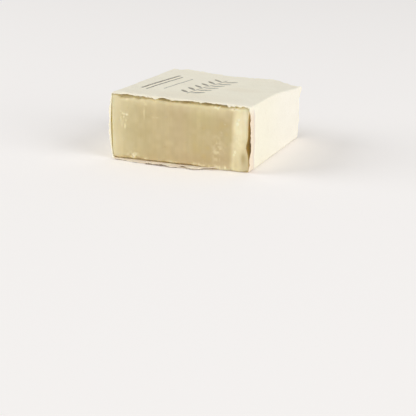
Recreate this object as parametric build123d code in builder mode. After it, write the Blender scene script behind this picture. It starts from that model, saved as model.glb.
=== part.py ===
from build123d import *
from math import pi, sin
import os

# Block of soap: X runs between its wrapped sides, Y between its bare ends
bar_width = 63.6
bar_depth = 66.4
bar_height = 27.3
shoulder_width = 6.5  # each bare end starts to curve back this far from its upright edges
left_drop = 0.6  # how far it has curved back at the -X edge, and at the +X one
right_drop = 1.5
upright_radius = 1.4
foot_radius = 1.0
rim_bevel = 0.7  # the worn upper edges
side_dish = 0.5  # how far curing has drawn each wrapped side in at mid height

# Settled top: the block stands tallest at its front left and sags towards its back right
front_rise = 1.15
back_sag = 1.6
sag_across = (0.12, 0.57)  # shares of the width between which the back starts to sag and has sagged
corner_sag = 2.2  # further, at the back right corner itself
corner_across = (0.8, 1.0)
corner_along = (0.42, 1.0)  # the same, as shares of the depth
top_points = 11  # places worked out each way over the top and its margin
top_margin = 0.1

# Paper sleeve: one sheet folded round the block, its ends glued one over the other below
paper = 0.3
fold_radius = 0.8
side_gap = 0.1  # between the block and the paper along each fold
side_bow = 0.7  # how far each side panel stands out at mid height
hem_edge = 20.0  # X of the inner end of the sheet, under the block
flap_edge = -14.0  # X of the outer end of the sheet, on the underside
end_overhang = 0.3  # how far the paper passes each bare end of the block

# Torn edges: sizes of the second, third and fifth waves along each panel
tear_waves = (2, 3, 5)
top_tear = (0.2, 0.15, 0.15)
side_tear = (-0.15, 0.2, 0.1)
base_tear = (0.25, -0.2, 0.1)
tear_points = 13
tear_spare = 3.0

hem_top = 2 * paper
bar_top = hem_top + bar_height
crown = bar_top + front_rise
bar_half = bar_width / 2
bar_end = bar_depth / 2
inner_half = bar_half + side_gap
outer_half = inner_half + paper
fold_line = inner_half - fold_radius
sleeve_end = bar_end + end_overhang
tear_reach = sleeve_end + 2 * tear_spare
panel_depth = fold_radius + side_bow + 2 * paper
mid_height = (hem_top + bar_top) / 2


def ease(share, start, finish):
    """Smooth step: 0 up to the start, 1 from the finish on."""
    step = min(max((share - start) / (finish - start), 0), 1)
    return step * step * (3 - 2 * step)


def settled(across, along):
    """How far the top stands off its level, by shares of the way across and from front to back."""
    rise = front_rise * (1 - across) ** 2 * (1 - along)
    sag = back_sag * ease(across, *sag_across) * along ** 2
    corner = corner_sag * ease(across, *corner_across) * ease(along, *corner_along)
    return rise - sag - corner


def settled_top(lift):
    """Surface of the settled top, lifted by this much."""
    span = 1 + 2 * top_margin
    shares = [span * i / (top_points - 1) - top_margin for i in range(top_points)]
    rows = []
    for along in shares:
        row = []
        for across in shares:
            height = bar_top + lift + settled(across, along)
            row.append((bar_width * across - bar_half, bar_depth * along - bar_end, height))
        rows.append(row)
    return Face.make_surface_from_array_of_points(rows)


def bar_plan():
    """Plan of the block: straight sides, and ends that curve back towards the upright edges."""
    flat = bar_half - shoulder_width
    for end in (-1, 1):
        Line((-flat, end * bar_end), (flat, end * bar_end))
    for side, drop in ((-1, left_drop), (1, right_drop)):
        edge = bar_end - drop
        for end in (-1, 1):
            TangentArc((side * flat, end * bar_end), (side * bar_half, end * edge), tangent=(side, 0))
        Line((side * bar_half, -edge), (side * bar_half, edge))


def bar_section():
    """Section of the block across its width: flat base, sides drawn in at mid height."""
    middle = (hem_top + crown) / 2
    for side in (-1, 1):
        edge = side * bar_half
        Line((0, hem_top), (edge, hem_top))
        ThreePointArc((edge, hem_top), (edge - side * side_dish, middle), (edge, crown))
        Line((edge, crown), (0, crown))


def sleeve_outline(half, low_left, low_right, step):
    """Closed outline of the sleeve up to its crown: bowed sides, and a step in the base."""
    high = crown + paper
    right_middle = (half + side_bow, (low_right + high) / 2)
    left_middle = (-half - side_bow, (low_left + high) / 2)
    Line((step, low_right), (half, low_right))
    ThreePointArc((half, low_right), right_middle, (half, high))
    Line((half, high), (-half, high))
    ThreePointArc((-half, high), left_middle, (-half, low_left))
    Polyline((-half, low_left), (step, low_left), (step, low_right))


def outermost(shapes, count):
    """The corners or edges, this many at each side, that lie furthest out."""
    across = shapes.sort_by(Axis.X)
    return across[:count] + across[-count:]


def folded_bar(half, low_left, low_right, step, lift, radius):
    """The sleeve's outline as a solid bar, trimmed to the settled top and rounded at its folds."""
    with BuildPart() as bar:
        with BuildSketch(Plane.XZ):
            with BuildLine() as outline:
                sleeve_outline(half, low_left, low_right, step)
                fillet(outermost(outline.vertices().sort_by(Axis.Y)[:4], 1), radius)
            make_face()
        extrude(amount=sleeve_end + tear_spare, both=True)
        extrude(settled_top(lift), amount=crown, dir=(0, 0, 1), mode=Mode.SUBTRACT)
        fillet(outermost(bar.faces().sort_by(Axis.Z)[-1].edges(), 1), radius)
    return bar.part


def tear_line(start, finish, waves, end):
    """Points of a torn edge from fold to fold, as (place along the panel, Y)."""
    points = []
    for i in range(tear_points):
        share = i / (tear_points - 1)
        wave = sum(size * sin(k * pi * share) for size, k in zip(waves, tear_waves))
        points.append((start + (finish - start) * share, end * (sleeve_end + wave)))
    return points


with BuildPart() as soap_bar:
    with BuildSketch(Plane.XY.offset(hem_top)):
        with BuildLine():
            bar_plan()
        make_face()
    extrude(amount=crown - hem_top)
    with BuildSketch(Plane.XZ):
        with BuildLine():
            bar_section()
        make_face()
    extrude(amount=bar_end, both=True, mode=Mode.INTERSECT)
    extrude(settled_top(0), amount=crown, dir=(0, 0, 1), mode=Mode.SUBTRACT)
    by_height = soap_bar.faces().sort_by(Axis.Z)
    rims = by_height[0].edges() + by_height[-1].edges()
    fillet(outermost(soap_bar.edges() - rims, 2), upright_radius)
    fillet(soap_bar.faces().sort_by(Axis.Z)[0].edges(), foot_radius)
    chamfer(soap_bar.faces().sort_by(Axis.Z)[-1].edges(), rim_bevel)

sleeve_bar = folded_bar(outer_half, paper, 0, flap_edge, paper, fold_radius + paper)
sleeve_space = folded_bar(inner_half, hem_top, paper, hem_edge, 0, fold_radius)

with BuildPart() as paper_wrapper:
    add(sleeve_bar)
    add(sleeve_space, mode=Mode.SUBTRACT)
    for end in (-1, 1):
        for waves, depth in ((top_tear, crown), (base_tear, -crown)):
            with BuildSketch(Plane.XY.offset(mid_height)):
                with BuildLine():
                    tear = tear_line(-end * fold_line, end * fold_line, waves, end)
                    far = end * tear_reach
                    Spline(*tear)
                    Polyline(tear[-1], (tear[-1][0], far), (tear[0][0], far), tear[0])
                make_face()
            extrude(amount=depth, mode=Mode.SUBTRACT)
        for side in (-1, 1):
            with BuildSketch(Plane.YZ.offset(side * fold_line)):
                with BuildLine():
                    upper_fold = bar_top - fold_radius + settled((1 + side) / 2, (1 + end) / 2)
                    tear = [(y, z) for z, y in tear_line(hem_top, upper_fold, side_tear, end)]
                    near = end * sleeve_end
                    far = end * tear_reach
                    low = -tear_spare
                    high = crown + tear_spare
                    Spline(*tear)
                    Polyline(tear[-1], (near, high), (far, high), (far, low), (near, low), tear[0])
                make_face()
            extrude(amount=side * panel_depth, mode=Mode.SUBTRACT)

os.makedirs("parts", exist_ok=True)
soap_bar.part.label = "soap_bar"
export_step(soap_bar.part, "parts/soap_bar.step")
paper_wrapper.part.label = "paper_wrapper"
export_step(paper_wrapper.part, "parts/paper_wrapper.step")
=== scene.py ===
import math
import bpy
import numpy as np
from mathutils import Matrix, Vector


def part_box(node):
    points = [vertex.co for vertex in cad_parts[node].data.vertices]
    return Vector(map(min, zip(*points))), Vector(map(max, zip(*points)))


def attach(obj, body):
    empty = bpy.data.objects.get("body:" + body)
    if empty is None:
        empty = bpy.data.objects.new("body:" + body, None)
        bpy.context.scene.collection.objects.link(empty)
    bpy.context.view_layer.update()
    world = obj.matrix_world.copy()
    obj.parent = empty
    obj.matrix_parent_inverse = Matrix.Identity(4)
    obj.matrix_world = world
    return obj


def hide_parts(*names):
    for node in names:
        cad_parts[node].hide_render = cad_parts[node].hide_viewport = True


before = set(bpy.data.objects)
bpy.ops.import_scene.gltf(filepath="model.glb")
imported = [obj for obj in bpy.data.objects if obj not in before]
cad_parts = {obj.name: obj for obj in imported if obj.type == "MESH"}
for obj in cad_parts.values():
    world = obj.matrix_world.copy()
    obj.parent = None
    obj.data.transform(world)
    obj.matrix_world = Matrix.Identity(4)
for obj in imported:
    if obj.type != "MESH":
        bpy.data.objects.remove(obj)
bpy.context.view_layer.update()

# Surfaces are worked out in millimetres: X across the wrapped sides, Y towards the back, Z up
mm = 0.001
soapLow, soapHigh = [np.array(corner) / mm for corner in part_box("soap_bar")]
sleeveHigh = np.array(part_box("paper_wrapper")[1]) / mm

# In the dictionaries a name that ends in Ramp, Hump or Noise holds what ramp, hump and noiseSum take:
# start and width, then the values before and after unless they are 0 and 1; centre and width;
# the mean, then size, strength and seed of each layer

settling = dict(
    frontRise=1.15,  # the block is this much taller at its front left
    frontFade=1.5,  # power by which that fades towards the right
    backFall=1.6,  # and this much lower along the right of its back end
    backRamp=(0.12, 0.45),  # by share of the width
    cornerFall=2.2,  # and lower again at the back right corner itself
    cornerRamps=((0.8, 0.2), (0.42, 0.6)),  # by shares of the width and the depth
)

barHalf = soapHigh[0]
barEnd = soapHigh[1]
barLow = soapLow[2]
paperThick = barLow / 2  # the sheet lies double under the block
barTop = sleeveHigh[2] - paperThick - settling["frontRise"]  # before it settled
print("frame loaded, block", np.round(soapHigh - soapLow, 1), "mm")


# Shared shaping

noiseLattice = (97, 89)  # heights each way before the noise repeats
noiseStart = (31.7, 23.3)


def smoothStep(t):
    # 0 below 0, 1 above 1, and the cubic 3t^2 - 2t^3 between
    t = np.clip(t, 0, 1)
    return t * t * (3 - 2 * t)


def ramp(t, start, width, before=0.0, after=1.0):
    # smooth step from one value at the start to the other one width further on
    return before + (after - before) * smoothStep((t - start) / width)


def hump(t, centre, width):
    # bell curve, 1 at its centre
    return np.exp(-((t - centre) / width) ** 2)


def nearFront(y, reach):
    return hump(y, -barEnd, reach)


def softNoise(a, b, size, seed):
    # random heights from -1 to 1 on a square lattice of this size, joined by smooth steps
    rows, columns = noiseLattice
    heights = np.random.default_rng(seed).uniform(-1, 1, noiseLattice)
    a, b = np.broadcast_arrays(a / size + noiseStart[0], b / size + noiseStart[1])
    i = np.floor(a).astype(int)
    j = np.floor(b).astype(int)
    f = smoothStep(a - i)
    g = smoothStep(b - j)
    near = heights[i % rows, j % columns] * (1 - f) + heights[(i + 1) % rows, j % columns] * f
    far = heights[i % rows, (j + 1) % columns] * (1 - f) + heights[(i + 1) % rows, (j + 1) % columns] * f
    return near * (1 - g) + far * g


def noiseSum(a, b, noise, seed=0):
    # layers of soft noise added to a mean
    mean, *layers = noise
    return mean + sum(strength * softNoise(a, b, size, seed + shift) for size, strength, shift in layers)


def lineNoise(t, noise, seed=0):
    return noiseSum(t, 0 * t, noise, seed)


def settle(points):
    # heights are stretched by one factor at each place in plan, so what touches stays touching
    x, y, z = np.moveaxis(points, -1, 0)
    across = np.clip((x + barHalf) / (2 * barHalf), 0, 1)
    along = np.clip((y + barEnd) / (2 * barEnd), 0, 1)
    rise = settling["frontRise"] * (1 - across) ** settling["frontFade"] * (1 - along)
    rise = rise - settling["backFall"] * ramp(across, *settling["backRamp"]) * along ** 2
    acrossRamp, alongRamp = settling["cornerRamps"]
    rise = rise - settling["cornerFall"] * ramp(across, *acrossRamp) * ramp(along, *alongRamp)
    return np.stack([x, y, z * (1 + rise / barTop)], -1)


def gridQuads(rows, columns, first=0, loop=False):
    # corners of every cell of a grid of points, anticlockwise when rows run up and columns right
    index = first + np.arange(rows * columns).reshape(rows, columns)
    if loop:
        index = np.hstack([index, index[:, :1]])
    return np.stack([index[:-1, :-1], index[:-1, 1:], index[1:, 1:], index[1:, :-1]], -1).reshape(-1, 4)


def rimOf(rows, columns):
    # the border of a grid of points, once round
    index = np.arange(rows * columns).reshape(rows, columns)
    return np.concatenate([index[0, :-1], index[:-1, -1], index[-1, :0:-1], index[:0:-1, 0]])


def putMesh(name, points, faces, material, creaseAngle=None):
    mesh = bpy.data.meshes.new(name)
    mesh.from_pydata((points * mm).tolist(), [], faces)
    mesh.polygons.foreach_set("use_smooth", np.ones(len(mesh.polygons), bool))
    if creaseAngle:
        mesh.set_sharp_from_angle(angle=math.radians(creaseAngle))
    mesh.materials.append(material)
    mesh.update()
    piece = bpy.data.objects.new(name, mesh)
    bpy.context.scene.collection.objects.link(piece)
    print(name, len(mesh.vertices), "points,", len(mesh.polygons), "faces")
    return piece


def putValues(piece, name, kind, values):
    # one value or vector for each point of the mesh
    attribute = piece.data.attributes.new(name, kind, "POINT")
    field = "vector" if kind == "FLOAT_VECTOR" else "value"
    attribute.data.foreach_set(field, np.ascontiguousarray(values, dtype=np.float32).ravel())


# Shader helpers

noiseMean = 0.5
grainSpan = (0.3, 0.7)  # the grain's noise mostly keeps within these


def addNode(tree, kind, inputs=None, **settings):
    node = tree.nodes.new(kind)
    for key, value in settings.items():
        setattr(node, key, value)
    for key, value in (inputs or {}).items():
        if isinstance(value, bpy.types.NodeSocket):
            tree.links.new(value, node.inputs[key])
        else:
            node.inputs[key].default_value = value
    return node


def addMath(tree, operation, first, second=0.0):
    return addNode(tree, "ShaderNodeMath", {0: first, 1: second}, operation=operation).outputs[0]


def multiply(tree, first, second):
    return addMath(tree, "MULTIPLY", first, second)


def mixColour(tree, share, first, second):
    node = addNode(tree, "ShaderNodeMix", {0: share, 6: first, 7: second}, data_type="RGBA")
    return node.outputs[2]


def shadeColour(tree, colour, shade):
    return addNode(tree, "ShaderNodeVectorMath", {0: colour, 1: shade}, operation="MULTIPLY").outputs[0]


def spread(tree, value, low, high, newLow=0.0, newHigh=1.0):
    node = addNode(tree, "ShaderNodeMapRange", {0: value, 1: low, 2: high, 3: newLow, 4: newHigh})
    return node.outputs[0]


def readValue(tree, name, output="Fac"):
    return addNode(tree, "ShaderNodeAttribute", attribute_name=name).outputs[output]


def newMaterial(name):
    material = bpy.data.materials.new(name)
    material.use_nodes = True
    tree = material.node_tree
    return material, tree, tree.nodes["Principled BSDF"]


def finishShader(tree, shader, look, colour, grain, height):
    # colour, roughness that follows the grain, relief, and what is the same all over
    tree.links.new(colour, shader.inputs["Base Color"])
    tree.links.new(spread(tree, grain, *grainSpan, *look["roughness"]), shader.inputs["Roughness"])
    strength, depth = look["relief"]
    relief = addNode(tree, "ShaderNodeBump", {"Strength": strength, "Distance": depth * mm, "Height": height})
    tree.links.new(relief.outputs[0], shader.inputs["Normal"])
    shader.inputs["Specular IOR Level"].default_value = look["specular"]
    shader.inputs["Subsurface Weight"].default_value = look["glow"]
    shader.inputs["Subsurface Radius"].default_value = look["glowRadius"]
    shader.inputs["Subsurface Scale"].default_value = look["glowDepth"] * mm


def mottleGroup():
    # uneven shade: broad clouds and fine grain, each a noise about its own mean
    group = bpy.data.node_groups.new("unevenShade", "ShaderNodeTree")
    group.interface.new_socket("Place", in_out="INPUT", socket_type="NodeSocketVector")
    for name in ("Cloud Scale", "Grain Scale", "Cloud Amount", "Grain Amount"):
        group.interface.new_socket(name, in_out="INPUT", socket_type="NodeSocketFloat")
    for name in ("Shade", "Grain"):
        group.interface.new_socket(name, in_out="OUTPUT", socket_type="NodeSocketFloat")
    given = group.nodes.new("NodeGroupInput").outputs
    result = group.nodes.new("NodeGroupOutput").inputs
    shade = 1.0
    for kind, detail, roughness in (("Cloud", 3.0, 0.55), ("Grain", 4.0, 0.6)):
        noise = addNode(group, "ShaderNodeTexNoise", {
            "Vector": given["Place"], "Scale": given[kind + " Scale"],
            "Detail": detail, "Roughness": roughness}).outputs[0]
        offMean = addMath(group, "SUBTRACT", noise, noiseMean)
        shade = addMath(group, "ADD", multiply(group, offMean, given[kind + " Amount"]), shade)
    group.links.new(shade, result["Shade"])
    group.links.new(noise, result["Grain"])
    return group


unevenShade = mottleGroup()


def addMottle(tree, place, cloudSize, grainSize, cloudAmount, grainAmount):
    # sizes in millimetres
    return addNode(tree, "ShaderNodeGroup", {
        "Place": place, "Cloud Scale": 1 / (cloudSize * mm), "Grain Scale": 1 / (grainSize * mm),
        "Cloud Amount": cloudAmount, "Grain Amount": grainAmount}, node_tree=unevenShade).outputs


# Soap

soapLook = dict(
    planPoints=(231, 141, 71, 9),  # along the front, the back and each side, and round each upright
    ringPoints=(16, 9, 90),  # on each cap, round each rim and up the wall
    capRings=(0.94, 1.7),  # how far in they start, and the power they crowd outwards by
    uprightRadius=0.45,
    rimRadius=(0.7, 1.2),  # lower and upper
    shoulderWidth=(6.5, 7.8),  # at the left and the right of each end
    shoulderFall=(0.35, 1.05),
    shoulderBend=(1.0, 0.45),  # small where the shoulder starts with a bend, large where it rolls
    shoulderFade=6,  # power of the depth by which the shoulders fade between the ends
    dish=0.5,  # how far each wrapped side is drawn in at mid height
    dishless=12.0,  # how far back from the front the left side has none
    drawIn=(0.3, 0.15, 1.0),  # how far the right side shrinks in at the front: all over, mid height, low down
    drawAllRamp=(23, 3, 1, 0),  # by height
    drawMidRamps=((7, 4), (24.5, 3, 1, 0.25)),
    drawLowHump=(10.8, 3),
    drawAcrossRamp=(16, 15),
    drawReach=7.0,
    leftSwell=(0.12, 0.4, 0.13),  # how far the left side stands out at the front: all over, mid height, foot
    leftFootHump=(2, 4),  # by height above the base
    leftReach=6.0,
    # lower and upper left corner of the front: how far up and in, spread across and up
    leftCorners=((0.4, 0.24, 2.4, 2.4), (0.2, -0.1, 2.0, 2.2)),
    cornerReach=4.0,
    frontCrown=(0.5, 9.0, 1.5),  # how far the top swells towards the front end, reach and power
    crownRamp=(-5, 5),  # by height from the top
    frontWear=(1.0, 1.8),  # how far its rim has worn down there, and reach
    wearRightRamp=(20, 5, 1, 0.4),
    wearLeftRamp=(1, 4, 0.45, 1),  # from the left side
    wearNoise=(0.85, (7, 0.35, 73), (2.2, 0.35, 74), (0.9, 0.25, 75)),
    footSag=(0.5, 2.5, 1.2),  # how far the front foot sags at the right, its spread up and back
    sagRamp=(6, 14),
    footWear=(0.5, 1.4, 1.5),  # how far it has worn at the left, in the same order
    footWearRamps=((2, 12, 1, 0), (3, 8)),  # the second from the left side
    rimWear=0.35,
    rimSpread=(1.3, 1.0),  # lower and upper
    rimNoise=(0.3, (4.5, 1, 71), (1.6, 0.5, 72)),
    rimDrop=0.5,  # share of the wear that comes off the height
    endSeed=(11, 41),  # front and back
    endRamp=(0.5, 0.4),  # by how squarely a place faces an end
    waveNoise=(0, (15, 0.13, 0), (5, 0.052, 1)),
    rubNoise=(0, (2.3, 0.16, 6), (1, 0.096, 7)),  # rubbed foot of an end
    rubHeight=3.5,
    rubRamp=(-2, 16),
    dragMarks=((1.3, 0.05, 2, 0.07), (3.1, 0.03, 3, 0.05)),  # layers of noise, and how far each is squeezed
    dragLean=0.06,
    dragNoise=(0.6, (9, 0.4, 4)),
    pits=34,
    pitSeed=5,
    pitSize=(0.3, 0.75),
    pitDepth=0.3,  # share of its size
    pitMargin=2.0,
    # pale scuffs on the front end: X, Z, half width, half height, strength
    scuffs=(
        (-26.1, 20.2, 0.9, 0.5, 1.0), (-24.7, 19.9, 0.5, 0.5, 0.9), (-24.7, 18.6, 0.5, 0.35, 0.8),
        (-25.2, 17.6, 0.4, 0.7, 0.9), (-25.7, 14.9, 0.35, 0.9, 0.9), (-27.6, 17.9, 0.3, 1.4, 0.4),
        (-27.2, 15.7, 0.4, 1.2, 0.5), (-27.5, 21.0, 0.6, 0.4, 0.4), (-26.2, 18.6, 0.35, 0.8, 0.5),
        (-26.6, 16.6, 0.3, 0.8, 0.5), (-16.0, 25.1, 0.9, 0.7, 0.45), (-16.4, 21.5, 0.45, 2.6, 0.35),
        (-24.5, 26.6, 0.8, 0.5, 0.4), (-11.0, 20.0, 1.6, 0.25, 0.3), (19.1, 16.0, 0.7, 0.9, 0.35),
        (20.9, 20.2, 0.4, 0.4, 0.4), (27.1, 22.5, 0.35, 0.45, 1.2), (26.5, 20.7, 0.5, 0.6, 1.2),
        (25.5, 8.6, 0.35, 0.6, 0.9), (25.0, 7.4, 0.4, 0.5, 0.6), (27.0, 13.0, 0.25, 2.6, 0.4),
        (24.9, 27.0, 1.6, 0.7, 1.0), (27.5, 26.4, 1.2, 0.5, 0.6),
    ),
    scuffNoise=(0.75, (0.8, 0.8, 83)),
    # crumbs and smears there, in the same order
    smears=(
        (17.6, 8.0, 2.4, 5.5, 0.5), (20.5, 1.6, 4.2, 1.1, 0.9), (-21.8, 2.2, 2.6, 1.5, 1.3),
        (27.0, 12.0, 2.6, 9.0, 0.15), (18.2, 27.0, 2.0, 0.8, 0.8), (-15.4, 1.1, 1.4, 0.8, 1.1),
        (-2.0, 1.0, 3.5, 0.7, 0.9), (10.0, 1.4, 3.5, 0.9, 0.8),
    ),
    smearNoise=(0.2, (1.7, 1, 86), (0.8, 0.7, 87)),
    markRise=0.4,
    markDry=1.2,
    # dryness and painted light: -1 damp, 0 heart, 1 dried and lit, and above that bleached and highlit
    drynessAndLightRange=(-1.0, 1.6),
    leftDryAndLit=((0.65, 3.2), (0.4, 14.0)),  # a pale band, partly drying and partly painted light on the rounded upright: strength, and how far in it fades
    leftDryAndLitRamp=(2, 12, 0.82, 1),  # by height
    rightDryAndLitRamp=(-1.4, 3.4, 0, 0.95),  # from where the shoulder starts; the broad band is partly drying and partly painted light where the shoulder turns to the right lamp
    rightNoise=(0, (5, 0.5, 84), (1.7, 0.3, 85)),
    rightLean=(10.0, 0.06),  # the height that the start leans about, and how much
    rightRiseRamp=(6, 20, 0.73, 1.15),  # by height
    streakNoise=(0, (1.2, 0.18, 88)),
    streakDraw=0.12,
    streakRamp=(23, 2),
    dampPatch=(0.9, (28.9, 1.2), (6.0, 2.8)),  # strength, hump across, hump by height
    paintedEdgeHighlight=(0.35, (29.8, 0.7), (12.0, 6.0)),  # painted highlight along the right upright: strength, hump across, ramp by height
    lowerRimPale=(0.7, 1.3),  # paler along the lower rim: strength, and how far it fades
    upperRimPaintedLight=(0.95, 2.3, 0.5),  # painted light where the upper rim's round catches light from above: the same, and how far below the top it starts
    # by X: the upper rim's painted light dims towards the right, as painted shade under the paper's lip
    upperRimPaintedLightRamp=(2, 14, 1, 0.75),
    patchNoise=(0, (6, 0.12, 81), (2.1, 0.08, 82)),
    wrappedRamp=(3.5, 4),  # by distance in from the ends: damp under the paper
    heart=(0.582, 0.452, 0.246, 1),
    # damp soap under the paper; its orange also paints warm glow into the shaded gaps
    dampAndGapGlow=(0.74, 0.49, 0.02, 1),
    # pale of dried soap and painted light on the lit edges; above it bleached scuffs and the painted
    # highlight
    dryAndLit=(0.90, 0.80, 0.51, 1),
    bleachedAndHighlit=(0.98, 0.92, 0.68, 1),
    green=(0.60, 0.512, 0.252, 1),
    greenShare=0.6,  # how much of it shows at the left
    greenAcross=(5.0, -22.0),  # X where it starts and where it is full
    tintSize=25.0,  # of the green clouds elsewhere
    tintSpan=(0.5, 0.8),
    mottle=(12, 1.6, 0.07, 0.05),  # sizes of clouds and grain, and how much each shows
    dragMottle=(2.6, 0.9, 0.14, 0.09),
    dragSqueeze=0.07,
    roughness=(0.42, 0.6),
    relief=(0.25, 0.2),  # strength and depth
    specular=0.4,
    glow=0.3,  # light that goes in and comes out again, its reach by colour, and its depth
    glowRadius=(1.0, 0.75, 0.4),
    glowDepth=3.0,
)


def soapMaterial():
    look = soapLook
    material, tree, shader = newMaterial("cured soap")
    place = addNode(tree, "ShaderNodeTexCoord").outputs["Object"]
    shade = addMottle(tree, place, *look["mottle"])
    squeezed = (1.0, 1.0, look["dragSqueeze"])
    drag = addNode(tree, "ShaderNodeMapping", {"Vector": place, "Scale": squeezed}).outputs[0]
    streak = addMottle(tree, drag, *look["dragMottle"])
    drynessAndPaintedLight = readValue(tree, "drynessAndPaintedLight")
    tintScale = 1 / (look["tintSize"] * mm)
    tint = addNode(tree, "ShaderNodeTexNoise", {"Vector": place, "Scale": tintScale, "Detail": 1.0})
    across = addNode(tree, "ShaderNodeSeparateXYZ", {0: place}).outputs[0]
    greenFrom, greenTo = look["greenAcross"]
    leftward = spread(tree, across, greenFrom * mm, greenTo * mm, 0.0, look["greenShare"])
    greenish = addMath(tree, "MAXIMUM", spread(tree, tint.outputs[0], *look["tintSpan"]), leftward)
    dampAndGlowEnd, palestEnd = look["drynessAndLightRange"]
    heart = mixColour(tree, greenish, look["heart"], look["green"])
    # damp soap, whose colour also paints warm glow into the shaded gaps
    heart = mixColour(tree, spread(tree, drynessAndPaintedLight, 0.0, dampAndGlowEnd), heart, look["dampAndGapGlow"])
    # the pale of drying and painted light on the lit edges, then bleached scuffs and the painted highlight on
    # the right upright
    base = mixColour(tree, spread(tree, drynessAndPaintedLight, 0.0, 1.0), heart, look["dryAndLit"])
    base = mixColour(tree, spread(tree, drynessAndPaintedLight, 1.0, palestEnd), base, look["bleachedAndHighlit"])
    coloured = shadeColour(tree, shadeColour(tree, base, streak["Shade"]), shade["Shade"])
    finishShader(tree, shader, look, coloured, shade["Grain"], shade["Grain"])
    return material


def soapPlan():
    # rounded rectangle, anticlockwise from above, whose two ends fall back towards the uprights
    r = soapLook["uprightRadius"]
    cx = barHalf - r
    cy = barEnd - r
    frontCount, backCount, sideCount, turnCount = soapLook["planPoints"]
    turn = np.linspace(0, np.pi / 2, turnCount)[:-1]
    front = np.linspace(-cx, cx, frontCount)[:-1]
    back = np.linspace(cx, -cx, backCount)[:-1]
    side = np.linspace(-cy, cy, sideCount)[:-1]
    x = np.concatenate([
        front, cx + r * np.sin(turn), np.full(side.size, barHalf), cx + r * np.cos(turn),
        back, -cx - r * np.sin(turn), np.full(side.size, -barHalf), -cx - r * np.cos(turn)])
    y = np.concatenate([
        np.full(front.size, -barEnd), -cy - r * np.cos(turn), side, cy + r * np.sin(turn),
        np.full(back.size, barEnd), cy + r * np.cos(turn), -side, -cy - r * np.sin(turn)])
    fall = np.zeros_like(x)
    for way, width, depth, bend in zip(
        (-1, 1), soapLook["shoulderWidth"], soapLook["shoulderFall"], soapLook["shoulderBend"]
    ):
        out = np.clip((way * x - barHalf + width) / width, 0, 1)  # 1 at the upright
        fall += depth * (np.hypot(out, bend) - bend) / (math.hypot(1, bend) - bend)
    y = y - np.sign(y) * fall * (np.abs(y) / barEnd) ** soapLook["shoulderFade"]
    return x, y


def soapRings():
    # from the middle of the base, out, up over the lower rim, the wall and the upper rim, and in again:
    # inset from the plan, height, and share of the way out from the middle
    low, high = soapLook["rimRadius"]
    capCount, turnCount, wallCount = soapLook["ringPoints"]
    capSpan, capPower = soapLook["capRings"]
    turn = np.linspace(0, np.pi / 2, turnCount)
    cap = 1 - capSpan * np.linspace(1, 0, capCount)[:-1] ** capPower
    wall = np.linspace(barLow + low, barTop - high, wallCount)[1:-1]
    inset = np.concatenate([
        np.full(cap.size, low), low * (1 - np.sin(turn)), np.zeros(wall.size), high * (1 - np.cos(turn)),
        np.full(cap.size, high)])
    height = np.concatenate([
        np.full(cap.size, barLow), barLow + low * (1 - np.cos(turn)), wall,
        barTop - high * (1 - np.sin(turn)), np.full(cap.size, barTop)])
    share = np.concatenate([cap, np.ones(2 * turn.size + wall.size), cap[::-1]])
    return inset[:, None], height[:, None], share[:, None]


def bells(x, z, marks):
    # highest of these marks at each place, each a bell curve both ways
    markX, markZ, wide, tall, strength = np.array(marks).T
    near = np.exp(-((x[..., None] - markX) / wide) ** 2 - ((z[..., None] - markZ) / tall) ** 2)
    return (near * strength).max(-1)


def scuffMarks(x, z):
    # scuffs broken up by fine noise, and smears that are the noise's own peaks
    scuffs = bells(x, z, soapLook["scuffs"]) * np.clip(noiseSum(x, z, soapLook["scuffNoise"]), 0, 1)
    smears = bells(x, z, soapLook["smears"]) * np.clip(noiseSum(x, z, soapLook["smearNoise"]), 0, 1)
    return np.maximum(scuffs, smears)


def endRelief(x, z, seed):
    # one cut end: shallow waves, a rubbed foot, upright drag marks from the cutting wire, and round pits
    look = soapLook
    rubbed = hump(z, barLow, look["rubHeight"]) * ramp(x, *look["rubRamp"])
    relief = noiseSum(x, z, look["waveNoise"], seed) + rubbed * noiseSum(x, z, look["rubNoise"], seed)
    leaning = x + look["dragLean"] * z
    drag = sum(
        strength * softNoise(leaning, z * squeeze, size, seed + shift)
        for size, strength, shift, squeeze in look["dragMarks"])
    relief = relief + drag * noiseSum(x, z, look["dragNoise"], seed)
    draw = np.random.default_rng(seed + look["pitSeed"])
    margin = look["pitMargin"]
    pitX = draw.uniform(-barHalf + margin, barHalf - margin, look["pits"])
    pitZ = draw.uniform(barLow + margin, barTop - margin, look["pits"])
    pitSize = draw.uniform(*look["pitSize"], look["pits"])
    away = ((x[..., None] - pitX) ** 2 + (z[..., None] - pitZ) ** 2) / pitSize ** 2
    return relief - (look["pitDepth"] * pitSize * np.exp(-away)).sum(-1)


def crownRise(deep):
    # how far the top has swollen at this distance from the front end
    height, reach, power = soapLook["frontCrown"]
    return height * np.exp(-(np.clip(deep, 0, None) / reach) ** power)


def frontHeights(x, y, z, share, wall):
    # the top swells towards the front, and its rim there has worn down, less so at both its ends
    look = soapLook
    deep = y * share + barEnd
    uneven = lineNoise(x * share, look["wearNoise"])
    worn, reach = look["frontWear"]
    worn = worn * uneven * hump(deep, 0, reach)
    worn = worn * ramp(x, *look["wearRightRamp"]) * ramp(x + barHalf, *look["wearLeftRamp"])
    z = z + (crownRise(deep) - worn) * ramp(z - barTop, *look["crownRamp"])
    # the foot sags below the paper at the right, and is worn back above it at the left
    sag, up, back = look["footSag"]
    z = z - sag * ramp(x, *look["sagRamp"]) * hump(z, barLow, up) * nearFront(y, back) * wall
    wear, up, back = look["footWear"]
    acrossRamp, leftRamp = look["footWearRamps"]
    wear = wear * uneven * ramp(x, *acrossRamp) * ramp(x + barHalf, *leftRamp)
    return z + wear * hump(z, barLow, up) * nearFront(y, back) * wall


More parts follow.
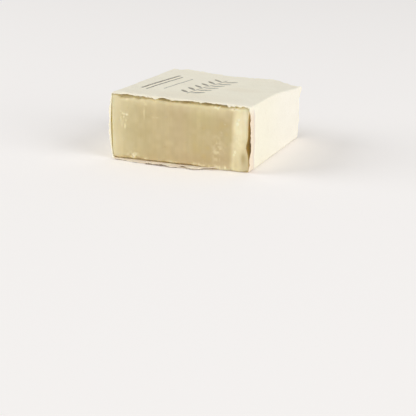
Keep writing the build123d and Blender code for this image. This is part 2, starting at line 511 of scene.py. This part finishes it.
def drawnIn(x, y, z):
    # how far the right side has shrunk in at the front, by height
    look = soapLook
    allOver, midHeight, lowDown = look["drawIn"]
    startRamp, endRamp = look["drawMidRamps"]
    drawn = allOver * ramp(z, *look["drawAllRamp"]) + midHeight * ramp(z, *startRamp) * ramp(z, *endRamp)
    drawn = drawn + lowDown * hump(z, *look["drawLowHump"])
    return drawn * nearFront(y, look["drawReach"]) * ramp(x, *look["drawAcrossRamp"])


def soapSurface():
    # plan carried up the rings: each ring is the plan moved in along its own normal, then scaled on the caps
    look = soapLook
    x, y = soapPlan()
    dx = np.roll(x, -1) - np.roll(x, 1)
    dy = np.roll(y, -1) - np.roll(y, 1)
    nx = dy / np.hypot(dx, dy)
    ny = -dx / np.hypot(dx, dy)
    inset, z, share = soapRings()
    z = np.broadcast_to(z, (z.shape[0], x.size))
    wall = np.where(share < 1, 0, 1) * np.ones_like(z)  # 0 on the caps
    middle = (barLow + barTop) / 2
    level = (z - middle) / (barTop - middle)
    belly = 1 - level ** 2
    inset = inset + look["dish"] * belly * nx ** 2 * (1 - (x < 0) * nearFront(y, look["dishless"]))
    # the two cut ends
    frontSeed, backSeed = look["endSeed"]
    front = endRelief(x + 0 * z, z, frontSeed) + look["markRise"] * scuffMarks(x + 0 * z, z)
    relief = np.where(y < 0, front, endRelief(x + 0 * z, z, backSeed))
    inset = inset - relief * ramp(np.abs(ny), *look["endRamp"]) * wall
    # worn rims
    lower, upper = look["rimSpread"]
    wear = look["rimWear"] * np.clip(noiseSum(x, y, look["rimNoise"]), 0, 2)
    wear = wear * (hump(z, barLow, lower) + hump(z, barTop, upper)) * wall
    inset = inset + wear
    z = z - np.sign(level) * wear * look["rimDrop"]
    # at the front the left side swells out to the paper, most at mid height and at the foot
    allOver, midHeight, atFoot = look["leftSwell"]
    swell = allOver + midHeight * belly + atFoot * hump(z - barLow, *look["leftFootHump"])
    inset = inset - swell * np.clip(-nx, 0, 1) * nearFront(y, look["leftReach"]) * wall
    # the lower left corner of the front is rubbed round, and the upper left one fills the fold of the paper
    for height, (up, inward, across, tall) in zip((barLow, barTop), look["leftCorners"]):
        corner = hump(x, -barHalf, across) * hump(z, height, tall) * nearFront(y, look["cornerReach"]) * wall
        z = z + up * corner
        inset = inset + inward * corner
    z = frontHeights(x, y, z, share, wall)
    return np.stack([(x - nx * inset) * share - drawnIn(x, y, z) * wall, (y - ny * inset) * share, z], -1)


def soapDrynessAndPaintedLight(points):
    # paler where the block has dried out, and painted light where its rounded edges catch the lamps: a narrow
    # band along the left upright and a broad one down the right shoulder, each partly drying and partly
    # painted light; a painted highlight on the right upright; a thread along the lower rim; a band of painted
    # light along the upper rim; damp where the paper covers it
    look = soapLook
    x, y, z = np.moveaxis(points, -1, 0)
    atFront = y < 0
    inFromLeft = np.clip(x + barHalf, 0, None)
    left = sum(strength * np.exp(-inFromLeft / reach) for strength, reach in look["leftDryAndLit"])
    left = left * ramp(z, *look["leftDryAndLitRamp"])
    height, lean = look["rightLean"]
    waver = lineNoise(z, look["rightNoise"]) - lean * (z - height)
    right = ramp(x - barHalf + look["shoulderWidth"][1] + waver, *look["rightDryAndLitRamp"])
    right = right * ramp(z, *look["rightRiseRamp"])
    right = right + noiseSum(x, z * look["streakDraw"], look["streakNoise"]) * ramp(x, *look["streakRamp"])
    strength, acrossHump, heightHump = look["dampPatch"]
    right = right - strength * hump(x, *acrossHump) * hump(z, *heightHump) * atFront
    # painted highlight on the right upright
    strength, acrossHump, heightRamp = look["paintedEdgeHighlight"]
    right = right + strength * hump(x, *acrossHump) * ramp(z, *heightRamp) * atFront
    strength, fade = look["lowerRimPale"]
    low = strength * np.exp(-np.clip(z - barLow, 0, None) / fade)
    # painted light along the upper rim, dimmed towards the right as painted shade
    strength, fade, below = look["upperRimPaintedLight"]
    high = strength * np.exp(-np.clip(barTop - below - z, 0, None) / fade) * ramp(x, *look["upperRimPaintedLightRamp"])
    dryAndLit = np.maximum.reduce([left, right, low, high]) + noiseSum(x, z + y, look["patchNoise"])
    dryAndLit = dryAndLit + look["markDry"] * scuffMarks(x, z) * atFront
    hidden = ramp(barEnd - np.abs(y), *look["wrappedRamp"])
    return np.clip(dryAndLit * (1 - hidden) - hidden, *look["drynessAndLightRange"])


def makeSoap():
    points = soapSurface()
    rows, columns = points.shape[:2]
    poles = np.array([[0, 0, barLow], [0, 0, barTop]])
    flat = np.concatenate([points.reshape(-1, 3), poles])
    ring = np.arange(columns)
    last = (rows - 1) * columns
    base = np.stack([np.roll(ring, -1), ring, np.full(columns, rows * columns)], -1)
    top = np.stack([last + ring, last + np.roll(ring, -1), np.full(columns, rows * columns + 1)], -1)
    faces = gridQuads(rows, columns, loop=True).tolist() + base.tolist() + top.tolist()
    piece = putMesh("soap_block", settle(flat), faces, soapMaterial())
    putValues(piece, "drynessAndPaintedLight", "FLOAT", soapDrynessAndPaintedLight(flat))
    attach(piece, "root")
    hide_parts("soap_bar")


# Paper sleeve

sleeveLook = dict(
    panelPoints=(44, 66, 170, 66, 40),  # across the hem, left side, top, right side and flap
    foldPoints=11,
    marginPoints=(19, 1.4, 3.2),  # near each torn end: how many, power they crowd by, depth
    bodyPoints=62,
    hemEdge=20.0,  # X of the sheet's inner end, between the block and the outer flap
    flapEdge=-14.0,  # X of its outer end, on the underside
    hemLength=60.0,  # the hem lies within this length of the inner end
    sideGap=0.15,
    foldRadius=(1.0, 0.8, 0.7, 1.4),  # lower left, upper left, upper right, lower right
    foldEase=(0.3, 1.5, 16.0),  # how far the upper right fold is pressed in, its spread, reach from the front
    creaseAngle=50,
    overhang=0.35,
    # torn ends
    tearSeed=(101, 131),  # front and back
    tearNoise=(0, (17, 0.24, 0), (5.5, 0.2, 1), (1.9, 0.15, 2), (0.8, 0.1, 3)),
    tearReach=2.5,  # how far in from an end its tear still moves the sheet's stations
    tongue=(0.5, -10.8, 1.3),  # on the top's front end: how far it stands out, then its hump across
    leftReach=0.25,  # how much further the front end stands out on the left panel
    leftShort=(0.7, 6.0),  # how far it falls short at that panel's foot, and how far up
    rightReach=(-0.15, 0.8),  # on the right panel, all over and low down
    rightLowHump=(6, 4),
    baseRamp=(-26, 8, 0.9, 3),  # how far it stands out on the base
    baseNoise=(0, (2.6, 0.9, 104), (0.9, 0.6, 105)),
    flapBehind=0.5,  # how far the flap falls behind the hem
    baseShort=1.1,  # how far both fall short under the right of the block
    shortRamp=(8, 14),
    ear=(1.5, 3.0),  # how far the back of the upper right fold sticks out, and its spread
    earLift=(0.7, 4.0, 1.5),  # how far it stands off, its spread along the sheet and inwards
    backTuck=(0.5, 1.6),  # how far the rest of that end bends in, and from how far
    # how it stands off the block
    bows=((0.35, 0.85, 1.2), (0.3, 0.45, 0.6)),  # left and right: mid length, front end, power
    bowReach=8.0,
    topNoise=(0.2, (17, 0.16, 151), (6, 0.07, 152)),
    frontLift=(0.7, 3.2, 1.5),  # how far the top's front end stands off, reach and power
    liftNoise=(0.75, (9, 0.25, 153)),
    liftRamp=(0.5, 2.5),  # from the left side
    curlDown=(0.65, 0.95),  # how far its torn lip curls down again, and reach
    lipNoise=(0.8, (4, 0.4, 154), (1.2, 0.3, 155)),
    dent=(0.45, (19.0, 9.0), (-1.0, 3.0), 0.1),  # depth, humps across and along, and slant
    cockleNoise=(0, (4, 0.05, 161), (1.8, 0.025, 162)),
    flakes=((0.9, 22.9, 0.6), (0.6, -10.8, 1.1), (0.4, 25.2, 0.4)),  # drop, then hump across
    flakeReach=0.7,
    curlNoise=(0, (5, 0.25, 171)),
    curlFade=1.1,
    frayNoise=(0, (2.4, 0.25, 172), (0.9, 0.2, 173)),
    frayFade=0.6,
    turnUp=(0.8, 0.7),  # how far the hem's free end turns up in front of the block, and how far in
    turnNoise=(0.2, (3.2, 1, 174), (1.1, 0.5, 175)),
    dropDown=(0.28, 2.0, 0.8),  # how far it drops where no flap props it, coming on across and along
    # outer ply and frayed edge
    plyWidth=(4.7, 1.4),  # how far in from the front and the back end the outer ply has torn away
    plyNoise=(0, (4.5, 0.6, 181), (1.3, 0.3, 182)),
    plyRamp=(-0.175, 0.35, 0, 0.1),  # how much thinner that leaves the sheet
    bead=(0.4, 0.5),  # how much the torn fibres thicken the front edge, and how far in
    beadNoise=(0.6, (2.1, 0.5, 183), (0.8, 0.4, 184)),
    beadRamp=(-0.9, 0.5),  # by how far the sheet faces up
    # patches of painted shade on the hem's torn edge
    basePatchNoise=(0.85, (2.2, 1, 185)),
    tornSideAndShadedRamps=((-0.5, 5), (-10, 20)),  # by depth below the top, and towards the front
    # painted light on the sides, coming on towards the back
    litSideBackRamp=(-22, 40),
    againstRamp=(0.3, 1.5),  # by distance in from the block's ends
    # colours
    sheet=(0.955, 0.88, 0.69, 1),
    litSideBackSheet=(0.985, 0.903, 0.752, 1),  # painted light: the sides paler towards the back
    # torn margins: the top's is partly painted light on its up-facing lip, the side's is partly painted
    # shade, and wholly so on the hem
    tornTopAndLit=(0.985, 0.895, 0.70, 1),
    tornSideAndShaded=(0.85, 0.70, 0.545, 1),
    tornSpan=(-0.3, 0.6),  # distances past the ply line between which they come on
    plyPaintedShadow=(0.74, 0.63, 0.56, 1),  # painted shadow along the ply line, where the outer ply ends
    plySpan=(0.6, 0.1, 0.0, 0.7),  # distances where it starts and is full, and its strength there
    soakedTopAndGapGlow=(0.72, 0.63, 0.32, 1),  # the inside, where it lies against the block: an oil stain whose olive and orange also paint warm glow into the shaded gaps
    soakedSideAndGapGlow=(0.97, 0.63, 0.03, 1),
    fibre=(0.80, 0.69, 0.50, 1),
    fibreSize=2.4,
    fibreTwist=1.6,
    fibreSpan=(0.016, 0.004),  # how near its mean the noise makes a fibre
    fibreShare=0.4,
    fibreRise=0.3,
    # faint darker patches: place across and along the top panel, half width, half length, strength
    darkerPatches=((16.5, 0.5, 11.0, 6.5, 0.3), (0.0, -25.0, 30.0, 11.0, 0.25)),
    mottle=(11, 0.7, 0.07, 0.06),
    roughness=(0.72, 0.9),
    relief=(0.55, 0.18),
    specular=0.25,
    glow=0.6,
    glowRadius=(1.0, 1.0, 0.95),
    glowDepth=0.8,
    # print
    ink=(0.17, 0.155, 0.125, 1),
    inkStrength=0.95,
    inkSpan=(0.34, 0.56, 0.55, 1.0),  # low and high grain, and how far the ink covers each
    inkFade=0.15,
    printTurn=7.0,  # degrees that the print is turned from the sheet's own direction
    # plain rules: place across the print and half width, middle and half length
    rules=((-23.2, 0.7, -2.0, 17.0), (-20.2, 0.5, -4.0, 16.0), (-14.0, 0.3, -2.2, 12.8)),
    stem=(-0.5, 0.3, 0.5, 18.6),  # of the sprig, in the same order
    leafPitch=6.2,
    leafStart=2.6,
    leafPlace=(3.4, 0.5),  # middle of a leaf, from the stem and along it
    leafTurn=36.87,  # degrees
    leafHalf=(3.2, 0.95),
    leafSpan=(1.25, 0.75),
)


def paperMaterial():
    look = sleeveLook
    material, tree, shader = newMaterial("wrapping paper")
    place = addNode(tree, "ShaderNodeTexCoord").outputs["Object"]
    shade = addMottle(tree, place, *look["mottle"])
    sheetPlace = readValue(tree, "sheetPlace", "Vector")
    across, along, sideways = addNode(tree, "ShaderNodeSeparateXYZ", {0: sheetPlace}).outputs
    ply = readValue(tree, "plyLine")
    onSide = addMath(tree, "ABSOLUTE", sideways)
    onRight = addMath(tree, "MAXIMUM", sideways, 0.0)
    # fibres: where a twisted noise crosses its mean
    fibreScale = 1 / (look["fibreSize"] * mm)
    twisted = addNode(tree, "ShaderNodeTexNoise", {
        "Vector": place, "Scale": fibreScale, "Detail": 2.0, "Distortion": look["fibreTwist"]}).outputs[0]
    offMean = addMath(tree, "ABSOLUTE", addMath(tree, "SUBTRACT", twisted, noiseMean))
    fibre = spread(tree, offMean, *look["fibreSpan"])
    # painted light: the side panels paler towards the back
    base = mixColour(tree, readValue(tree, "litSideBack"), look["sheet"], look["litSideBackSheet"])
    base = mixColour(tree, multiply(tree, fibre, look["fibreShare"]), base, look["fibre"])
    # the torn margin: paler on the top, where painted light brightens its up-facing lip, and pinker on the
    # right and in patches on the base, where it is painted shade on the hem; the line where it starts; and
    # the soaked inside
    tornLitAndShaded = mixColour(tree, onRight, look["tornTopAndLit"], look["tornSideAndShaded"])
    base = mixColour(tree, spread(tree, ply, *look["tornSpan"]), base, tornLitAndShaded)
    # painted shadow along the ply line, on the right side and in patches on the base
    plyShadowLine = spread(tree, addMath(tree, "ABSOLUTE", ply), *look["plySpan"])
    base = mixColour(tree, multiply(tree, plyShadowLine, onRight), base, look["plyPaintedShadow"])
    # the soaked inside, an oil stain whose colours also paint warm glow into the shaded gaps, olive on the
    # top and orange at the sides
    soakedAndGapGlow = mixColour(tree, onSide, look["soakedTopAndGapGlow"], look["soakedSideAndGapGlow"])
    base = mixColour(tree, readValue(tree, "inside"), base, soakedAndGapGlow)
    # darker patches: ellipses that fade from their middles
    for x, y, wide, deep, strength in look["darkerPatches"]:
        off = ellipse(tree, across, along, (x, y), (wide, deep))
        base = mixColour(tree, spread(tree, off, 1.0, 0.0, 0.0, strength), base, look["fibre"])
    covered = spread(tree, shade["Grain"], *look["inkSpan"])
    inked = mixColour(tree, multiply(tree, printMask(tree, across, along), covered), base, look["ink"])
    raised = addMath(tree, "ADD", shade["Grain"], multiply(tree, fibre, look["fibreRise"]))
    finishShader(tree, shader, look, shadeColour(tree, inked, shade["Shade"]), shade["Grain"], raised)
    return material


def ellipse(tree, first, second, middle, half):
    # 0 in the middle, 1 on the ellipse with these half axes, and growing as the square of the distance
    parts = []
    for value, centre, size in zip((first, second), middle, half):
        off = addMath(tree, "DIVIDE", addMath(tree, "SUBTRACT", value, centre), size)
        parts.append(multiply(tree, off, off))
    return addMath(tree, "ADD", *parts)


def turnPlace(tree, first, second, degrees):
    # two coordinates turned about their origin
    c = math.cos(math.radians(degrees))
    s = math.sin(math.radians(degrees))
    newFirst = addMath(tree, "ADD", multiply(tree, first, c), multiply(tree, second, s))
    newSecond = addMath(tree, "SUBTRACT", multiply(tree, second, c), multiply(tree, first, s))
    return newFirst, newSecond


def bandMask(tree, value, middle, half):
    # 1 within half a width of the middle, with edges that fade over the width of a fibre
    away = addMath(tree, "ABSOLUTE", addMath(tree, "SUBTRACT", value, middle))
    return spread(tree, away, half + sleeveLook["inkFade"], half - sleeveLook["inkFade"])


def printMask(tree, across, along):
    # in millimetres from the middle of the top panel and turned a little: three plain rules, and a sprig
    # whose leaves are ellipses, repeated along its stem and mirrored about it
    look = sleeveLook
    down, aside = turnPlace(tree, along, across, look["printTurn"])
    stemAt, stemHalf, sprigMiddle, sprigHalf = look["stem"]
    fromStem = addMath(tree, "ABSOLUTE", addMath(tree, "SUBTRACT", aside, stemAt))
    fromPair = addMath(tree, "ADD", down, look["leafStart"])
    half = look["leafPitch"] / 2
    step = addNode(tree, "ShaderNodeMath", {0: fromPair, 1: half, 2: -half}, operation="WRAP").outputs[0]
    leafX = addMath(tree, "SUBTRACT", fromStem, look["leafPlace"][0])
    leafY = addMath(tree, "SUBTRACT", step, look["leafPlace"][1])
    lengthwise, widthwise = turnPlace(tree, leafX, leafY, look["leafTurn"])
    off = ellipse(tree, lengthwise, widthwise, (0.0, 0.0), look["leafHalf"])
    leaf = spread(tree, off, *look["leafSpan"])
    sprig = addMath(tree, "MAXIMUM", leaf, bandMask(tree, fromStem, 0.0, stemHalf))
    mask = multiply(tree, sprig, bandMask(tree, down, sprigMiddle, sprigHalf))
    for place, wide, middle, reach in look["rules"]:
        rule = multiply(tree, bandMask(tree, aside, place, wide), bandMask(tree, down, middle, reach))
        mask = addMath(tree, "MAXIMUM", mask, rule)
    return multiply(tree, mask, look["inkStrength"])


def sleevePath():
    # section of the folded sheet: inner hem, left side, top, right side, outer flap, with round folds;
    # gives X, Z, the outward normal's two parts and the length along the sheet
    r1, r2, r3, r4 = sleeveLook["foldRadius"]
    half = barHalf + sleeveLook["sideGap"] + paperThick / 2
    hemZ = barLow - paperThick / 2
    flapZ = paperThick / 2
    topZ = barTop + paperThick / 2
    turn = np.linspace(0, np.pi / 2, sleeveLook["foldPoints"])[1:-1]
    s, c = np.sin(turn), np.cos(turn)
    hemCount, leftCount, topCount, rightCount, flapCount = sleeveLook["panelPoints"]
    hem = np.linspace(sleeveLook["hemEdge"], r1 - half, hemCount)
    left = np.linspace(hemZ + r1, topZ - r2, leftCount)
    top = np.linspace(r2 - half, half - r3, topCount)
    right = np.linspace(topZ - r3, flapZ + r4, rightCount)
    flap = np.linspace(half - r4, sleeveLook["flapEdge"], flapCount)
    flat = np.zeros_like
    x = np.concatenate([
        hem, r1 - half - r1 * s, flat(left) - half, r2 - half - r2 * c, top, half - r3 + r3 * s,
        flat(right) + half, half - r4 + r4 * c, flap])
    z = np.concatenate([
        flat(hem) + hemZ, hemZ + r1 - r1 * c, left, topZ - r2 + r2 * s, flat(top) + topZ,
        topZ - r3 + r3 * c, right, flapZ + r4 - r4 * s, flat(flap) + flapZ])
    nx = np.concatenate([flat(hem), -s, flat(left) - 1, -c, flat(top), s, flat(right) + 1, c, flat(flap)])
    nz = np.concatenate([flat(hem) - 1, -c, flat(left), s, flat(top) + 1, c, flat(right), -s, flat(flap) - 1])
    length = np.concatenate([[0], np.cumsum(np.hypot(np.diff(x), np.diff(z)))])
    return x[:, None], z[:, None], nx[:, None], nz[:, None], length[:, None]


def sleeveDepths():
    # stations from the front end to the back one, close together near the torn ends
    end = barEnd + sleeveLook["overhang"]
    count, power, depth = sleeveLook["marginPoints"]
    margin = np.linspace(0, 1, count)[:-1] ** power * depth
    body = np.linspace(depth, 2 * end - depth, sleeveLook["bodyPoints"])
    return (np.concatenate([margin, body, (2 * end - margin)[::-1]]) - end)[None, :]


def panelShares(nx, nz):
    # how squarely each place of the section faces left, right, up and down
    return [np.clip(part, 0, 1) for part in (-nx, nx, nz, -nz)]


def frontTear(x, z, nx, nz, length):
    # how far the front end passes its mean line: slow drift, bites and nibbling, and each panel's own reach
    look = sleeveLook
    onLeft, onRight, onTop, onBase = panelShares(nx, nz)
    out, *tongueHump = look["tongue"]
    tear = lineNoise(length, look["tearNoise"], look["tearSeed"][0]) + out * hump(x, *tongueHump) * onTop
    short, up = look["leftShort"]
    rising = np.sin(np.pi * np.clip(z / barTop, 0, 1))
    tear = tear + onLeft * (look["leftReach"] * rising - short * hump(z, 0, up))
    allOver, lowDown = look["rightReach"]
    tear = tear + onRight * (allOver + lowDown * hump(z, *look["rightLowHump"]))
    reach = ramp(x, *look["baseRamp"]) + lineNoise(length, look["baseNoise"])
    reach = reach - look["flapBehind"] * (length > look["hemLength"])
    return tear + onBase * (reach - (reach + look["baseShort"]) * ramp(x, *look["shortRamp"]))


def sideBows(y, z, onLeft, onRight):
    # each side panel stands out between its folds, more so at the front; a power under 1 fills it out
    rising = np.sin(np.pi * np.clip(z / (barTop + paperThick), 0, 1))
    atFront = hump(y, -barEnd - sleeveLook["overhang"], sleeveLook["bowReach"])
    return sum(
        facing * rising ** power * (middle + (front - middle) * atFront)
        for facing, (middle, front, power) in zip((onLeft, onRight), sleeveLook["bows"]))


def topLift(x, y, frontAway):
    # how far the top stands off the block: slack, crown, raised front end with its curled lip, and a dent
    look = sleeveLook
    lift = noiseSum(x, y, look["topNoise"]) + crownRise(y + barEnd)
    raised, reach, power = look["frontLift"]
    raised = raised * lineNoise(x, look["liftNoise"]) * ramp(x + barHalf, *look["liftRamp"])
    lift = lift + raised * np.exp(-(frontAway / reach) ** power)
    curl, reach = look["curlDown"]
    lift = lift - curl * lineNoise(x, look["lipNoise"]) * hump(frontAway, 0, reach)
    depth, acrossHump, alongHump, slant = look["dent"]
    lift = lift - depth * hump(x, *acrossHump) * hump(y - slant * x, *alongHump)
    return np.maximum(lift, 0)


def edgeWork(x, length, onTop, onShown, frontAway, backAway):
    # along the torn ends: slow curls, fraying, and flakes that hang from the lip
    look = sleeveLook
    away = np.minimum(frontAway, backAway)
    curl = lineNoise(length, look["curlNoise"]) * np.exp(-away / look["curlFade"])
    fray = lineNoise(length, look["frayNoise"]) * np.exp(-away / look["frayFade"])
    flakes = sum(drop * hump(x, *flakeHump) for drop, *flakeHump in look["flakes"])
    return onShown * (curl + fray) - onTop * flakes * hump(frontAway, 0, look["flakeReach"])


def hemWork(x, y, length, frontAway):
    # the hem's free end turns up in front of the block here and there, and drops where no flap props it
    up, reach = sleeveLook["turnUp"]
    up = up * np.clip(lineNoise(length, sleeveLook["turnNoise"]), 0, 1) * np.exp(-frontAway / reach)
    down, across, along = sleeveLook["dropDown"]
    down = down * ramp(sleeveLook["flapEdge"] - x, 0, across) * ramp(-barEnd - y, 0, along)
    return down - up


def sleeveSurface():
    # section carried along Y, pushed out along its normal by bows, lifts, cockles and what its edges do
    look = sleeveLook
    x, z, nx, nz, length = sleevePath()
    y = sleeveDepths()
    end = barEnd + look["overhang"]
    onLeft, onRight, onTop, onBase = panelShares(nx, nz)
    onShown = onLeft + onRight + onTop
    cornerLength = length[np.argmax(x + z)]  # at the upper right fold
    front = frontTear(x, z, nx, nz, length)
    earOut, size = look["ear"]
    back = earOut * hump(length, cornerLength, size)
    back = back + lineNoise(length, look["tearNoise"], look["tearSeed"][1])
    reach = look["tearReach"]
    y = y - front * np.exp(-(y + end) / reach) + back * np.exp((y - end) / reach)
    frontAway = y - y[:, :1]
    backAway = y[:, -1:] - y
    out = sideBows(y, z, onLeft, onRight) + onTop * topLift(x, y, frontAway)
    # the upper right fold is rounder towards the front, and its back corner is an ear that stands off
    pressed, size, reach = look["foldEase"]
    out = out - pressed * hump(length, cornerLength, size) * hump(y, -end, reach)
    lifted, size, reach = look["earLift"]
    atEar = hump(length, cornerLength, size)
    out = out + lifted * onRight * atEar * np.exp(-backAway / reach)
    tucked, reach = look["backTuck"]
    out = out - onRight * ramp(backAway, 0, reach, tucked, 0.0) * (1 - atEar)
    out = out + onShown * noiseSum(length, y, look["cockleNoise"])
    out = out + edgeWork(x, length, onTop, onShown, frontAway, backAway)
    out = out + onBase * (length < look["hemLength"]) * hemWork(x, y, length, frontAway)
    points = np.stack([x + nx * out, y + 0 * x, z + nz * out], -1)
    return settle(points), length, frontAway, backAway


def sheetNormal(middle):
    normal = np.cross(np.gradient(middle, axis=0), np.gradient(middle, axis=1))
    return normal / np.linalg.norm(normal, axis=-1, keepdims=True)


def pastPlyLine(length, frontAway, backAway):
    # distance past the line where the outer ply ends, below 0 where it still lies on
    plyFront, plyBack = sleeveLook["plyWidth"]
    return np.maximum(plyFront - frontAway, plyBack - backAway) + lineNoise(length, sleeveLook["plyNoise"])


def outerOffset(length, pastPly, frontAway, normal):
    # half the sheet, less the ply that is gone, with a bead of fibres along the front edge
    look = sleeveLook
    thick, reach = look["bead"]
    bead = thick * np.clip(lineNoise(length, look["beadNoise"]), 0, 2) * hump(frontAway, 0, reach)
    return paperThick / 2 - ramp(pastPly, *look["plyRamp"]) + bead * ramp(normal[..., 2], *look["beadRamp"])


def tornSideAndShadedShare(length, middle, normal):
    # 1 where the sheet is torn as the right side is, -1 on the left, patchy on the base, where that colour is
    # painted shade on the hem, 0 on the top
    belowRamp, forwardRamp = sleeveLook["tornSideAndShadedRamps"]
    patches = np.clip(noiseSum(length, middle[..., 1], sleeveLook["basePatchNoise"]), 0, 1)
    share = normal[..., 0] * ramp(barTop - middle[..., 2], *belowRamp)
    share = share + patches * np.clip(-normal[..., 2], 0, 1)
    return share * ramp(-middle[..., 1], *forwardRamp)


def putSheetValues(piece, middle, normal, length, pastPly):
    # the same on the outer and the inner face, apart from which of them is inside
    depth = middle[..., 1]
    upper = middle[:, 0, 2] > barTop / 2
    topMiddle = length[np.argmin(np.where(upper, np.abs(middle[:, 0, 0]), np.inf))]
    across = length - topMiddle + 0 * depth
    place = np.stack([across, depth, tornSideAndShadedShare(length, middle, normal)], -1).reshape(-1, 3)
    against = ramp(barEnd - np.abs(depth), *sleeveLook["againstRamp"]).ravel()
    # painted light on the side panels, growing towards the back
    litSideBack = (np.abs(normal[..., 0]) * ramp(depth, *sleeveLook["litSideBackRamp"])).ravel()
    putValues(piece, "sheetPlace", "FLOAT_VECTOR", np.tile(place, (2, 1)))
    putValues(piece, "plyLine", "FLOAT", np.tile(pastPly.ravel(), 2))
    putValues(piece, "inside", "FLOAT", np.concatenate([0 * against, against]))
    putValues(piece, "litSideBack", "FLOAT", np.tile(litSideBack, 2))


def makeSleeve():
    middle, length, frontAway, backAway = sleeveSurface()
    normal = sheetNormal(middle)
    pastPly = pastPlyLine(length, frontAway, backAway)
    outer = middle + normal * outerOffset(length, pastPly, frontAway, normal)[..., None]
    inner = middle - normal * (paperThick / 2)
    rows, columns = middle.shape[:2]
    count = rows * columns
    outside = gridQuads(rows, columns)[:, ::-1]
    inside = gridQuads(rows, columns, first=count)
    rim = rimOf(rows, columns)
    after = np.roll(rim, -1)
    border = np.stack([rim, after, after + count, rim + count], -1)
    points = np.concatenate([outer.reshape(-1, 3), inner.reshape(-1, 3)])
    faces = np.concatenate([outside, inside, border]).tolist()
    piece = putMesh("paper_sleeve", points, faces, paperMaterial(), creaseAngle=sleeveLook["creaseAngle"])
    putSheetValues(piece, middle, normal, length, pastPly)
    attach(piece, "root")
    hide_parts("paper_wrapper")


# Floor, light and camera

stageLook = dict(
    floorColour=(0.97, 0.95, 0.94, 1),
    floorRoughness=0.9,
    floorHalf=3000.0,
    worldColour=(1.0, 0.99, 0.975, 1),
    worldStrength=0.48,
    lamps=(  # name, place in metres, size in metres, watts
        ("right softbox", (2.2, -0.6, 1.1), 1.9, 38.0),
        ("left softbox", (-2.2, -0.7, 1.1), 1.9, 37.0),
    ),
    cameraPlace=(0.1933, -0.4784, 0.1348),
    cameraTurn=(72.415, 0.0, 22.024),  # degrees
    cameraLens=101.08,
)


def makeFloor():
    edge = np.linspace(-stageLook["floorHalf"], stageLook["floorHalf"], 3)
    across, along = np.meshgrid(edge, edge)
    points = np.stack([across, along, 0 * across], -1).reshape(-1, 3)
    material, tree, shader = newMaterial("pale floor")
    shader.inputs["Base Color"].default_value = stageLook["floorColour"]
    shader.inputs["Roughness"].default_value = stageLook["floorRoughness"]
    shader.inputs["Specular IOR Level"].default_value = 0.0
    floor = putMesh("floor", points, gridQuads(edge.size, edge.size).tolist(), material)


def makeLight():
    world = bpy.data.worlds.new("soft room")
    bpy.context.scene.world = world
    world.use_nodes = True
    background = world.node_tree.nodes["Background"]
    background.inputs["Color"].default_value = stageLook["worldColour"]
    background.inputs["Strength"].default_value = stageLook["worldStrength"]
    for name, place, size, watts in stageLook["lamps"]:
        lamp = bpy.data.lights.new(name, "AREA")
        lamp.size = size
        lamp.energy = watts
        holder = bpy.data.objects.new(name, lamp)
        holder.location = place
        x, y, z = place
        holder.rotation_euler = (math.atan2(math.hypot(x, y), z), 0, math.atan2(x, -y))  # faces the origin
        bpy.context.scene.collection.objects.link(holder)
    print("light:", len(stageLook["lamps"]), "lamps and the room")


def makeCamera():
    camera = bpy.data.cameras.new("camera")
    camera.lens = stageLook["cameraLens"]
    holder = bpy.data.objects.new("camera", camera)
    holder.location = stageLook["cameraPlace"]
    holder.rotation_euler = [math.radians(angle) for angle in stageLook["cameraTurn"]]
    bpy.context.scene.collection.objects.link(holder)
    bpy.context.scene.camera = holder
    print("camera set")


makeSoap()
makeSleeve()
makeFloor()
makeLight()
makeCamera()
bpy.context.scene.view_settings.view_transform = "Standard"
